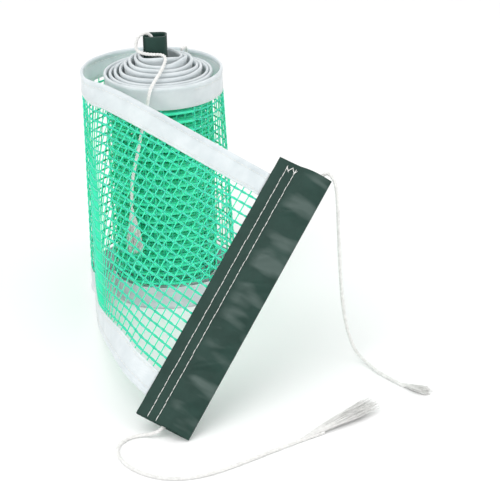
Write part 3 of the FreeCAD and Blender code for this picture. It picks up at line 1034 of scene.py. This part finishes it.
def frayed(name, line_end, direction, length, spread, count, flat):
    """A frayed tip: fine yarns that open out from the cord's end, flatter one way."""
    build = Build()
    direction = unit(direction)
    side = unit(np.cross(direction, (0.1, 0.2, 0.97)))
    up = np.cross(side, direction)
    for _ in range(count):
        turn = rng.uniform(0, 2 * math.pi)
        reach = math.sqrt(rng.uniform(0.02, 1))
        share = np.linspace(0, 1, 12)
        open_out = np.clip(share * 6, 0, 1) * reach
        open_out = open_out + spread * reach * np.maximum(share - 0.2, 0) ** 0.8
        curl = spread * 0.22 * np.sin(share * rng.uniform(2, 5) + rng.uniform(0, 6)) * share
        size = length * rng.uniform(0.72, 1.0)
        x = open_out * math.cos(turn) + curl
        y = (open_out * math.sin(turn) + curl * 0.5) * flat
        hair = line_end + direction * (size * share)[:, None] + side * x[:, None] + up * y[:, None]
        hair[:, 2] = np.maximum(hair[:, 2], yarn_end_least_height)
        _, hair_across, hair_out = line_frames(hair)
        thickness = yarn_end_radius * (1 - 0.5 * share) * rng.uniform(0.8, 1.3)
        add_tube(build, hair, hair_across, hair_out, thickness, thickness, 4)
    return build.object(name, cotton)


cord_lines = {
    "end_bottom": spline_line("end_bottom", end_bottom_points),
    "end_top": spline_line("end_top", end_top_points),
    "core_top": spline_line("core_top", core_top_points),
    "core_tail": spline_line("core_tail", core_tail_points),
}
end_bottom_cord = twisted_cord("end_bottom_twisted_cord", cord_lines["end_bottom"])
end_top_cord = twisted_cord("end_top_twisted_cord", cord_lines["end_top"])
core_top_cord = twisted_cord("core_top_twisted_cord", cord_lines["core_top"])
core_tail_cord = twisted_cord("core_tail_twisted_cord", cord_lines["core_tail"])

# The yarns open out from a little before the ends of the free end's cords
tip_bottom = cord_lines["end_bottom"][-28]
tip_top = cord_lines["end_top"][-7]
tip_core = cord_lines["core_top"][-1]
way_bottom = np.array((116.2, -186.0, 4.6)) - tip_bottom
way_top = np.array((150.6, -169.1, 2.2)) - tip_top
brush_bottom = frayed("end_bottom_brush", tip_bottom, way_bottom, 63.0, 6.0, 300, 0.5)
brush_top = frayed("end_top_brush", tip_top, way_top, 22.0, 3.8, 110, 0.6)
brush_core = frayed("core_top_brush", tip_core, (1.5, -0.2, -34.0), 34.0, 6.5, 190, 0.4)

# What rides on what. The flap's pieces, which join the two bodies, ride on neither.
for piece in (net_flap, tape_top_flap, tape_low_flap, stitches_flap):
    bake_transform(piece)
roll_pieces = (net_tight, net_loose, tape_top_roll, tape_low_roll, stitches_roll, core, core_seams,
               core_top_cord, core_tail_cord, brush_core)
for piece in roll_pieces:
    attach(piece, "roll")
end_pieces = (sleeve, stitch_row_1, stitch_row_2, end_bottom_cord, end_top_cord, brush_bottom,
              brush_top)
for piece in end_pieces:
    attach(piece, "free_end")

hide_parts("net_mesh_roll")
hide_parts("net_mesh_bend", "net_mesh_panel")
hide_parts("top_tape_roll", "top_hem_cord_roll")
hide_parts("bottom_tape_roll", "bottom_hem_cord_roll")
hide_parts("top_tape_free", "top_hem_cord_free")
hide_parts("bottom_tape_free", "bottom_hem_cord_free")
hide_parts("end_sleeve_front", "end_sleeve_back")
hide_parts("end_sleeve_stitch_row_1")
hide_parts("end_sleeve_stitch_row_2")
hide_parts("core_sleeve_outer", "core_sleeve_inner")
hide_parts("core_sleeve_stitching")
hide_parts("core_top_cord")
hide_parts("core_cord_tail")
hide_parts("core_top_tassel")
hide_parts("end_top_cord")
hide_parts("end_top_tuft")
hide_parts("end_bottom_cord")
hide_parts("end_bottom_tassel")

# The net's own end, inside the end sleeve, keeps its solid
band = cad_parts["net_end_band"]
band.data.materials.clear()
band.data.materials.append(tape_cloth)


# Floor, light and camera
floor_mesh = bpy.data.meshes.new("floor")
floor_mesh.from_pydata([(-4, -3, 0), (4, -3, 0), (4, 6, 0), (-4, 6, 0)], [], [(0, 1, 2, 3)])
floor = bpy.data.objects.new("floor", floor_mesh)
bpy.context.scene.collection.objects.link(floor)
floor_paint, _, _, shader = material("floor_paint")
set_sockets(shader, Base_Color=(0.95, 0.95, 0.95, 1), Roughness=0.9)
floor.data.materials.append(floor_paint)

world = bpy.data.worlds.new("studio")
bpy.context.scene.world = world
world.use_nodes = True
set_sockets(world.node_tree.nodes["Background"], Color=(1, 1, 1, 1), Strength=0.95)


def area_light(name, location, target, size, power):
    data = bpy.data.lights.new(name, "AREA")
    data.shape = "DISK"
    data.size = size
    data.energy = power
    light = bpy.data.objects.new(name, data)
    bpy.context.scene.collection.objects.link(light)
    light.location = location
    light.rotation_euler = (Vector(target) - Vector(location)).to_track_quat("-Z", "Y").to_euler()


area_light("key", (-0.5, -0.7, 1.3), (0, 0, 0.08), 1.2, 7.0)
area_light("fill", (0.9, -0.6, 0.8), (0, 0, 0.08), 0.8, 2.0)

# Fitted to the photo
camera_place = (0, -1178.2, 543.05)
pitch, yaw, roll = math.radians(23.76), math.radians(2.70), math.radians(-1.31)
camera_data = bpy.data.cameras.new("camera")
camera_data.lens = 138.8
camera_data.sensor_width = 36.0
camera_data.clip_start = 0.05
camera = bpy.data.objects.new("camera", camera_data)
bpy.context.scene.collection.objects.link(camera)
forward = Vector((math.sin(yaw) * math.cos(pitch), math.cos(yaw) * math.cos(pitch), -math.sin(pitch)))
right = Vector((math.cos(yaw), -math.sin(yaw), 0))
upward = right.cross(forward)
right_rolled = right * math.cos(roll) + upward * math.sin(roll)
up_rolled = upward * math.cos(roll) - right * math.sin(roll)
axes = Matrix((right_rolled, up_rolled, -forward)).transposed().to_4x4()
camera.matrix_world = Matrix.Translation(place(camera_place)) @ axes
bpy.context.scene.camera = camera
bpy.context.scene.view_settings.view_transform = "Standard"
